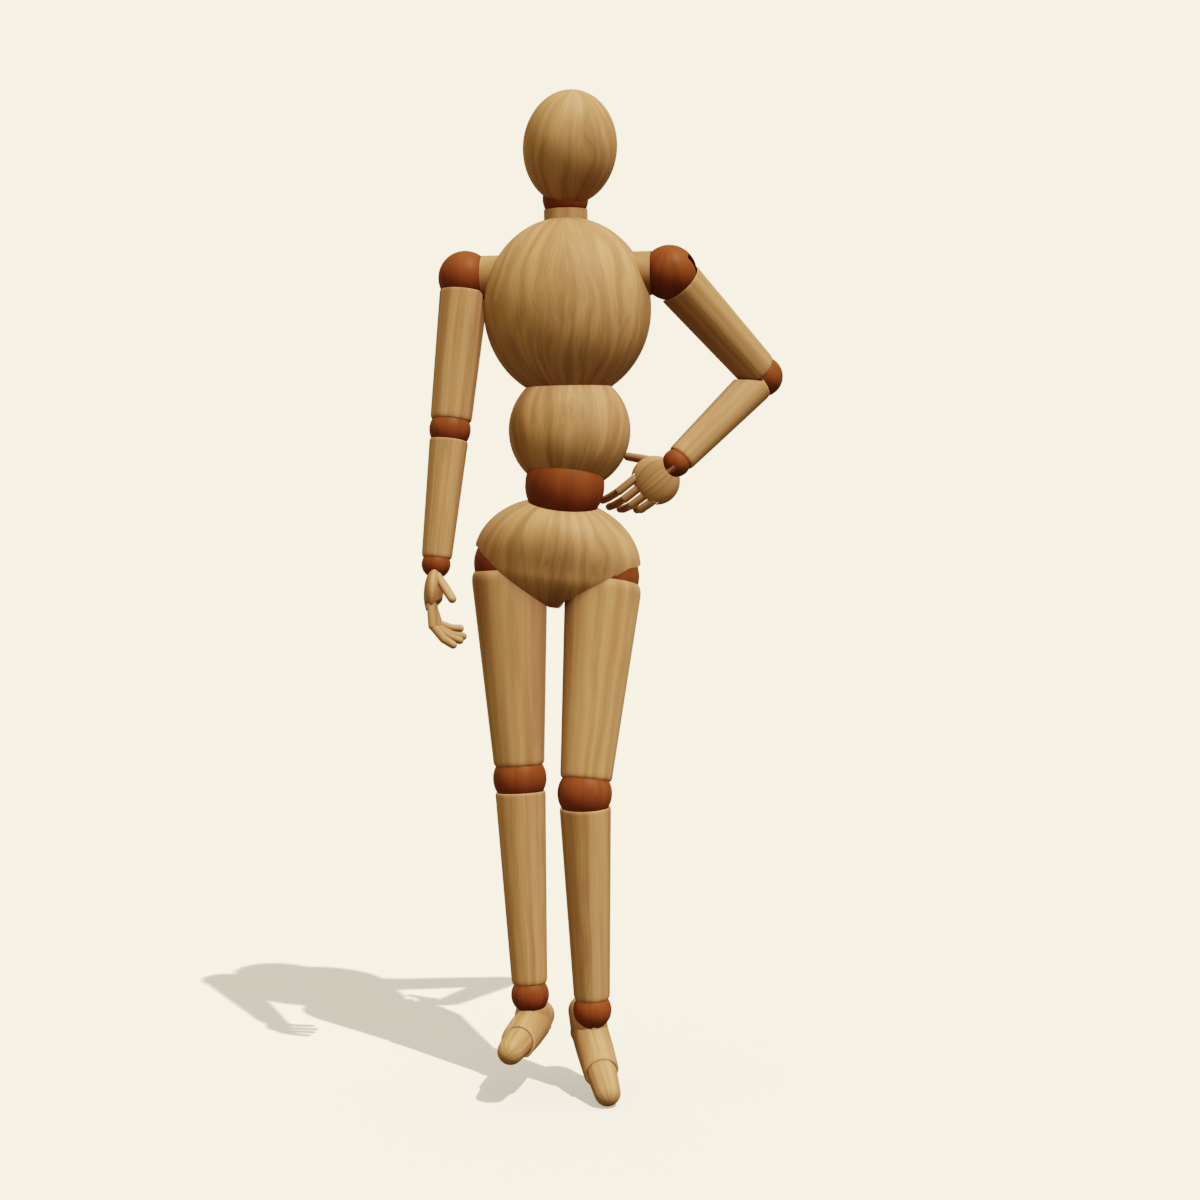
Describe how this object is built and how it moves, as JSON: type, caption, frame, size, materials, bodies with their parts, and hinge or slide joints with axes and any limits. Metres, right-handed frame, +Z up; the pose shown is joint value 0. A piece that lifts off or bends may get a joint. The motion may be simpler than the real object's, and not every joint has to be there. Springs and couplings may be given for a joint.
{
  "type": "jointed wooden artist mannequin",
  "caption": "Jointed wooden human figure for drawing practice, with turned limbs, stained ball joints, bending fingers and a bore in the back for a stand rod.",
  "frame": {"origin": "centre of the mouth of the stand socket in the back of the pelvis", "axes": "+Z up, -Y the way the figure faces, +X towards the figure's left side"},
  "size_m": [0.1426, 0.0708, 0.3898],
  "materials": {
    "maple": "pale straight-grained wood, turned and sanded, clear satin lacquer",
    "stained_wood": "turned wood with a reddish-brown stain and clear satin lacquer",
    "steel": "plain bright steel wire and rod"
  },
  "bodies": {
    "pelvis": {"pelvis": "maple", "hip_rod": "steel"},
    "waist_ball": {"waist_ball": "stained_wood", "waist_pin": "steel"},
    "stomach": {"stomach": "maple"},
    "torso_plug": {"torso_plug": "maple", "torso_pin": "steel"},
    "torso_post": {"torso_post": "maple"},
    "chest": {"chest": "maple", "neck": "maple", "right_shoulder_peg": "maple", "left_shoulder_peg": "maple"},
    "neck_ball": {"neck_ball": "stained_wood"},
    "head": {"head": "maple"},
    "right_shoulder_ball": {"right_shoulder_ball": "stained_wood"},
    "right_upper_arm": {"right_upper_arm": "maple"},
    "right_elbow_ball": {"right_elbow_ball": "stained_wood"},
    "right_forearm": {"right_forearm": "maple"},
    "right_wrist_ball": {"right_wrist_ball": "stained_wood"},
    "right_palm": {"right_palm": "maple"},
    "right_index_finger": {"right_index_finger": "maple"},
    "right_index_fingertip": {"right_index_fingertip": "maple"},
    "right_middle_finger": {"right_middle_finger": "maple"},
    "right_middle_fingertip": {"right_middle_fingertip": "maple"},
    "right_ring_finger": {"right_ring_finger": "maple"},
    "right_ring_fingertip": {"right_ring_fingertip": "maple"},
    "right_little_finger": {"right_little_finger": "maple"},
    "right_little_fingertip": {"right_little_fingertip": "maple"},
    "right_thumb": {"right_thumb": "maple"},
    "right_hip_ball": {"right_hip_ball": "stained_wood"},
    "right_thigh": {"right_thigh": "maple"},
    "right_knee_ball": {"right_knee_ball": "stained_wood"},
    "right_shin": {"right_shin": "maple"},
    "right_ankle_ball": {"right_ankle_ball": "stained_wood"},
    "right_foot": {"right_foot": "maple"},
    "right_toes": {"right_toes": "maple"},
    "left_shoulder_ball": {"left_shoulder_ball": "stained_wood"},
    "left_upper_arm": {"left_upper_arm": "maple"},
    "left_elbow_ball": {"left_elbow_ball": "stained_wood"},
    "left_forearm": {"left_forearm": "maple"},
    "left_wrist_ball": {"left_wrist_ball": "stained_wood"},
    "left_palm": {"left_palm": "maple"},
    "left_index_finger": {"left_index_finger": "maple"},
    "left_index_fingertip": {"left_index_fingertip": "maple"},
    "left_middle_finger": {"left_middle_finger": "maple"},
    "left_middle_fingertip": {"left_middle_fingertip": "maple"},
    "left_ring_finger": {"left_ring_finger": "maple"},
    "left_ring_fingertip": {"left_ring_fingertip": "maple"},
    "left_little_finger": {"left_little_finger": "maple"},
    "left_little_fingertip": {"left_little_fingertip": "maple"},
    "left_thumb": {"left_thumb": "maple"},
    "left_hip_ball": {"left_hip_ball": "stained_wood"},
    "left_thigh": {"left_thigh": "maple"},
    "left_knee_ball": {"left_knee_ball": "stained_wood"},
    "left_shin": {"left_shin": "maple"},
    "left_ankle_ball": {"left_ankle_ball": "stained_wood"},
    "left_foot": {"left_foot": "maple"},
    "left_toes": {"left_toes": "maple"}
  },
  "joints": [
    {"name": "waist_turn", "type": "hinge", "parent": "pelvis", "child": "waist_ball", "pos_m": [-0.0008, -0.02338, 0.02265], "axis": [-0.1019, 0.1653, -0.981], "range_deg": [-37.9, 52.1]},
    {"name": "waist_bend", "type": "hinge", "parent": "waist_ball", "child": "stomach", "pos_m": [-0.0008, -0.02338, 0.02265], "axis": [0.9942, 0.0497, -0.0949], "range_deg": [-17.6, 44.4]},
    {"name": "torso_turn", "type": "hinge", "parent": "stomach", "child": "torso_plug", "pos_m": [0.00104, -0.01923, 0.04418], "axis": [0.084, 0.1884, 0.9785], "range_deg": [-23.36, 70.4]},
    {"name": "torso_bend", "type": "hinge", "parent": "torso_plug", "child": "torso_post", "pos_m": [0.00104, -0.01923, 0.04418], "axis": [0.8912, -0.4535, 0.0109], "range_deg": [-8.2, 7.2]},
    {"name": "chest_turn", "type": "hinge", "parent": "torso_post", "child": "chest", "pos_m": [0.00104, -0.01923, 0.04418], "axis": [0.0169, 0.0092, -0.9998], "range_deg": [-49.7, 56.67]},
    {"name": "neck_turn", "type": "hinge", "parent": "chest", "child": "neck_ball", "pos_m": [-0.00047, -0.02006, 0.13416], "axis": [0.0169, 0.0092, -0.9998], "range_deg": [-62.4, 87.6]},
    {"name": "head_nod", "type": "hinge", "parent": "neck_ball", "child": "head", "pos_m": [-0.00047, -0.02006, 0.13416], "axis": [0.9338, 0.3573, 0.0191], "range_deg": [-44, 8]},
    {"name": "right_shoulder_swing", "type": "hinge", "parent": "chest", "child": "right_shoulder_ball", "pos_m": [-0.0399, -0.01512, 0.10393], "axis": [-0.9931, 0.1161, -0.0157], "range_deg": [-54, 161]},
    {"name": "right_shoulder_raise", "type": "hinge", "parent": "right_shoulder_ball", "child": "right_upper_arm", "pos_m": [-0.0399, -0.01512, 0.10393], "axis": [-0.1171, -0.9824, 0.1454], "range_deg": [-102.6, 0]},
    {"name": "right_elbow_turn", "type": "hinge", "parent": "right_upper_arm", "child": "right_elbow_ball", "pos_m": [-0.04562, -0.02324, 0.04446], "axis": [0.0949, 0.1347, 0.9863], "range_deg": [-90, 90]},
    {"name": "right_elbow_bend", "type": "hinge", "parent": "right_elbow_ball", "child": "right_forearm", "pos_m": [-0.04562, -0.02324, 0.04446], "axis": [-0.9886, 0.1293, 0.0775], "range_deg": [-103.4, 1.6]},
    {"name": "right_wrist_turn", "type": "hinge", "parent": "right_forearm", "child": "right_wrist_ball", "pos_m": [-0.05071, -0.03077, -0.00796], "axis": [0.0957, 0.1415, 0.9853], "range_deg": [-89.7, 90.3]},
    {"name": "right_wrist_bend", "type": "hinge", "parent": "right_wrist_ball", "child": "right_palm", "pos_m": [-0.05071, -0.03077, -0.00796], "axis": [0.0004, 0.9898, -0.1422], "range_deg": [-26.49, 29]},
    {"name": "right_thumb_bend", "type": "hinge", "parent": "right_palm", "child": "right_thumb", "pos_m": [-0.04971, -0.03585, -0.01238], "axis": [0.0551, -0.5997, 0.7983], "range_deg": [-14, 39]},
    {"name": "right_hip_swing", "type": "hinge", "parent": "pelvis", "child": "right_hip_ball", "pos_m": [-0.02316, -0.01471, -0.00823], "axis": [-0.9791, 0.1579, 0.1283], "range_deg": [-29.9, 12.6]},
    {"name": "right_hip_spread", "type": "hinge", "parent": "right_hip_ball", "child": "right_thigh", "pos_m": [-0.02316, -0.01471, -0.00823], "axis": [-0.1548, -0.9874, 0.0337], "range_deg": [-35.6, 1.2]},
    {"name": "right_knee_turn", "type": "hinge", "parent": "right_thigh", "child": "right_knee_ball", "pos_m": [-0.01886, -0.0183, -0.09345], "axis": [0.0504, -0.042, -0.9978], "range_deg": [-29.5, 30.5]},
    {"name": "right_knee_bend", "type": "hinge", "parent": "right_knee_ball", "child": "right_shin", "pos_m": [-0.01886, -0.0183, -0.09345], "axis": [0.988, -0.1441, 0.0559], "range_deg": [-2, 91]},
    {"name": "right_ankle_turn", "type": "hinge", "parent": "right_shin", "child": "right_ankle_ball", "pos_m": [-0.01475, -0.02339, -0.17919], "axis": [-0.0478, 0.0593, 0.9971], "range_deg": [-27.01, 50.8]},
    {"name": "right_ankle_bend", "type": "hinge", "parent": "right_ankle_ball", "child": "right_foot", "pos_m": [-0.01475, -0.02339, -0.17919], "axis": [0.9681, -0.2432, 0.0609], "range_deg": [-21.7, 36.3]},
    {"name": "right_toe_bend", "type": "hinge", "parent": "right_foot", "child": "right_toes", "pos_m": [-0.01907, -0.04403, -0.19289], "axis": [0.9681, -0.2432, 0.0609], "range_deg": [-33, 13]},
    {"name": "right_index_knuckle", "type": "hinge", "parent": "right_palm", "child": "right_index_finger", "pos_m": [-0.05202, -0.03897, -0.0235], "axis": [0.0004, 0.9898, -0.1422], "range_deg": [-71, 11]},
    {"name": "right_index_joint", "type": "hinge", "parent": "right_index_finger", "child": "right_index_fingertip", "pos_m": [-0.0514, -0.04009, -0.0313], "axis": [0.0004, 0.9898, -0.1422], "range_deg": [-28, 36]},
    {"name": "right_middle_knuckle", "type": "hinge", "parent": "right_palm", "child": "right_middle_finger", "pos_m": [-0.05201, -0.0351, -0.02406], "axis": [0.0004, 0.9898, -0.1422], "range_deg": [-68, 14]},
    {"name": "right_middle_joint", "type": "hinge", "parent": "right_middle_finger", "child": "right_middle_fingertip", "pos_m": [-0.05096, -0.03625, -0.03201], "axis": [0.0004, 0.9898, -0.1422], "range_deg": [-16, 48]},
    {"name": "right_ring_knuckle", "type": "hinge", "parent": "right_palm", "child": "right_ring_finger", "pos_m": [-0.05201, -0.03124, -0.02461], "axis": [0.0004, 0.9898, -0.1422], "range_deg": [-64, 18]},
    {"name": "right_ring_joint", "type": "hinge", "parent": "right_ring_finger", "child": "right_ring_fingertip", "pos_m": [-0.05044, -0.03235, -0.03227], "axis": [0.0004, 0.9898, -0.1422], "range_deg": [-12, 52]},
    {"name": "right_little_knuckle", "type": "hinge", "parent": "right_palm", "child": "right_little_finger", "pos_m": [-0.05201, -0.02748, -0.02515], "axis": [0.0004, 0.9898, -0.1422], "range_deg": [-58, 24]},
    {"name": "right_little_joint", "type": "hinge", "parent": "right_little_finger", "child": "right_little_fingertip", "pos_m": [-0.05009, -0.02835, -0.03119], "axis": [0.0004, 0.9898, -0.1422], "range_deg": [-12, 52]},
    {"name": "left_shoulder_swing", "type": "hinge", "parent": "chest", "child": "left_shoulder_ball", "pos_m": [0.03995, -0.02446, 0.1052], "axis": [-0.9931, 0.1161, -0.0157], "range_deg": [-13.6, 3.35]},
    {"name": "left_shoulder_raise", "type": "hinge", "parent": "left_shoulder_ball", "child": "left_upper_arm", "pos_m": [0.03995, -0.02446, 0.1052], "axis": [0.0833, 0.7939, 0.6023], "range_deg": [-72.9, 0.97]},
    {"name": "left_elbow_turn", "type": "hinge", "parent": "left_upper_arm", "child": "left_elbow_ball", "pos_m": [0.07845, 0.00096, 0.06636], "axis": [-0.6385, -0.4215, 0.644], "range_deg": [-48, 82]},
    {"name": "left_elbow_bend", "type": "hinge", "parent": "left_elbow_ball", "child": "left_forearm", "pos_m": [0.07845, 0.00096, 0.06636], "axis": [0.5129, -0.8569, -0.0524], "range_deg": [-1.47, 100.9]},
    {"name": "left_wrist_turn", "type": "hinge", "parent": "left_forearm", "child": "left_wrist_ball", "pos_m": [0.04303, -0.01811, 0.03155], "axis": [0.6657, 0.3585, 0.6544], "range_deg": [-77.3, 7.69]},
    {"name": "left_wrist_bend", "type": "hinge", "parent": "left_wrist_ball", "child": "left_palm", "pos_m": [0.04303, -0.01811, 0.03155], "axis": [-0.6415, -0.1731, 0.7474], "range_deg": [-23.9, 13.04]},
    {"name": "left_thumb_bend", "type": "hinge", "parent": "left_palm", "child": "left_thumb", "pos_m": [0.03628, -0.01726, 0.03184], "axis": [-0.0862, 0.1559, -0.984], "range_deg": [-9.51, 31]},
    {"name": "left_hip_swing", "type": "hinge", "parent": "pelvis", "child": "left_hip_ball", "pos_m": [0.01463, -0.02081, -0.01318], "axis": [0.9791, -0.1579, -0.1283], "range_deg": [-2.5, 40]},
    {"name": "left_hip_spread", "type": "hinge", "parent": "left_hip_ball", "child": "left_thigh", "pos_m": [0.01463, -0.02081, -0.01318], "axis": [-0.1292, -0.9698, 0.207], "range_deg": [-1.15, 21]},
    {"name": "left_knee_turn", "type": "hinge", "parent": "left_thigh", "child": "left_knee_ball", "pos_m": [0.00708, -0.0376, -0.09657], "axis": [0.0884, 0.1967, 0.9765], "range_deg": [-30.7, 8.25]},
    {"name": "left_knee_bend", "type": "hinge", "parent": "left_knee_ball", "child": "left_shin", "pos_m": [0.00708, -0.0376, -0.09657], "axis": [0.8894, -0.4569, 0.0115], "range_deg": [-16.56, 74.6]},
    {"name": "left_ankle_turn", "type": "hinge", "parent": "left_shin", "child": "left_ankle_ball", "pos_m": [0.00999, -0.0341, -0.18245], "axis": [-0.0339, -0.0407, 0.9986], "range_deg": [-41.6, 27.01]},
    {"name": "left_ankle_bend", "type": "hinge", "parent": "left_ankle_ball", "child": "left_foot", "pos_m": [0.00999, -0.0341, -0.18245], "axis": [0.9677, 0.2483, 0.0429], "range_deg": [-47.2, 10.8]},
    {"name": "left_toe_bend", "type": "hinge", "parent": "left_foot", "child": "left_toes", "pos_m": [0.01376, -0.04493, -0.20482], "axis": [0.9677, 0.2483, 0.0429], "range_deg": [-33, 13]},
    {"name": "left_index_knuckle", "type": "hinge", "parent": "left_palm", "child": "left_index_finger", "pos_m": [0.02657, -0.01835, 0.02526], "axis": [-0.6415, -0.1731, 0.7474], "range_deg": [-73, 9]},
    {"name": "left_index_joint", "type": "hinge", "parent": "left_index_finger", "child": "left_index_fingertip", "pos_m": [0.02051, -0.01703, 0.02037], "axis": [-0.6415, -0.1731, 0.7474], "range_deg": [-32, 31.07]},
    {"name": "left_middle_knuckle", "type": "hinge", "parent": "left_palm", "child": "left_middle_finger", "pos_m": [0.02907, -0.01767, 0.02235], "axis": [-0.6415, -0.1731, 0.7474], "range_deg": [-71, 11]},
    {"name": "left_middle_joint", "type": "hinge", "parent": "left_middle_finger", "child": "left_middle_fingertip", "pos_m": [0.02287, -0.01604, 0.0174], "axis": [-0.6415, -0.1731, 0.7474], "range_deg": [-30, 27.06]},
    {"name": "left_ring_knuckle", "type": "hinge", "parent": "left_palm", "child": "left_ring_finger", "pos_m": [0.03158, -0.01699, 0.01943], "axis": [-0.6415, -0.1731, 0.7474], "range_deg": [-66, 16]},
    {"name": "left_ring_joint", "type": "hinge", "parent": "left_ring_finger", "child": "left_ring_fingertip", "pos_m": [0.02558, -0.01475, 0.01481], "axis": [-0.6415, -0.1731, 0.7474], "range_deg": [-22, 42]},
    {"name": "left_little_knuckle", "type": "hinge", "parent": "left_palm", "child": "left_little_finger", "pos_m": [0.03401, -0.01634, 0.01659], "axis": [-0.6415, -0.1731, 0.7474], "range_deg": [-56, 26]},
    {"name": "left_little_joint", "type": "hinge", "parent": "left_little_finger", "child": "left_little_fingertip", "pos_m": [0.02935, -0.0135, 0.01325], "axis": [-0.6415, -0.1731, 0.7474], "range_deg": [-16, 48]}
  ]
}
